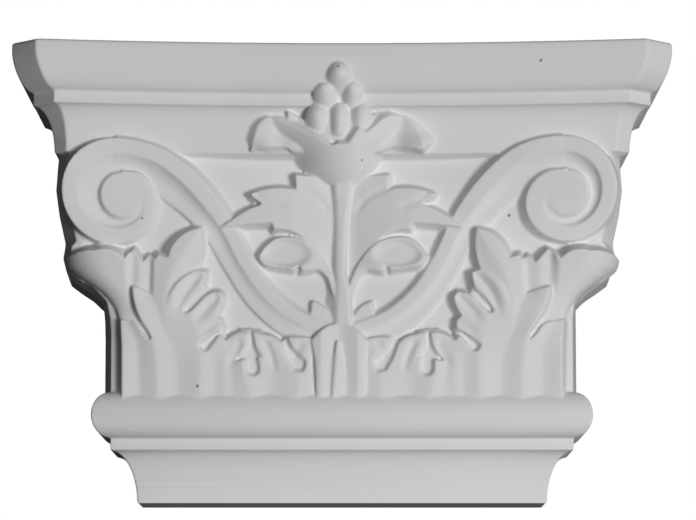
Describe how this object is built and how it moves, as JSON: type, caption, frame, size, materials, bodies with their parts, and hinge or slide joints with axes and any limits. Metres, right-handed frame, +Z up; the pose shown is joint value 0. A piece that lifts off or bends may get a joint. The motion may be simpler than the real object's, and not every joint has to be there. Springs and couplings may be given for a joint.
{
  "type": "pilaster capital",
  "caption": "White cast plaster pilaster capital with a bowed moulded top, corner volutes and leaves, and a flower on a stem with berries at its centre.",
  "frame": {"origin": "under the middle of the block's width and depth, on its underside", "axes": "+X to the right as seen from the front, +Y back to the wall, +Z up"},
  "size_m": [0.32, 0.0922, 0.221],
  "materials": {
    "plaster": "matt white cast plaster, unpainted, faintly mottled, with a few pinholes and scuffs"
  },
  "bodies": {
    "root": {"capital": "plaster"}
  },
  "joints": []
}
